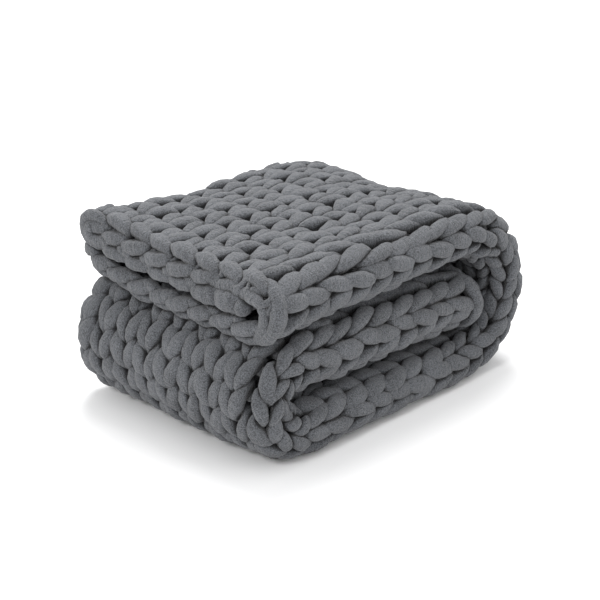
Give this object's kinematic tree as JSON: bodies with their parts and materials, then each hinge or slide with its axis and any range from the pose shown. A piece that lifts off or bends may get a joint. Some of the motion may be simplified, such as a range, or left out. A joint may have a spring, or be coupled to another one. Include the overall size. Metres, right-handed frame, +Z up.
{
  "type": "weighted blanket",
  "caption": "Chunky hand-knitted weighted blanket in grey jersey yarn, folded in thirds lengthwise and then rolled in on itself into a low rectangular pile.",
  "frame": {"origin": "centre of the folded pile at the level of the surface it lies on", "axes": "+X along the folded strip, from the loose end's side to the big bend; +Z up"},
  "size_m": [0.584, 0.4078, 0.2904],
  "materials": {
    "jersey_yarn": "matt knitted cotton jersey, mid grey heather"
  },
  "bodies": {
    "root": {"blanket": "jersey_yarn"}
  },
  "joints": []
}
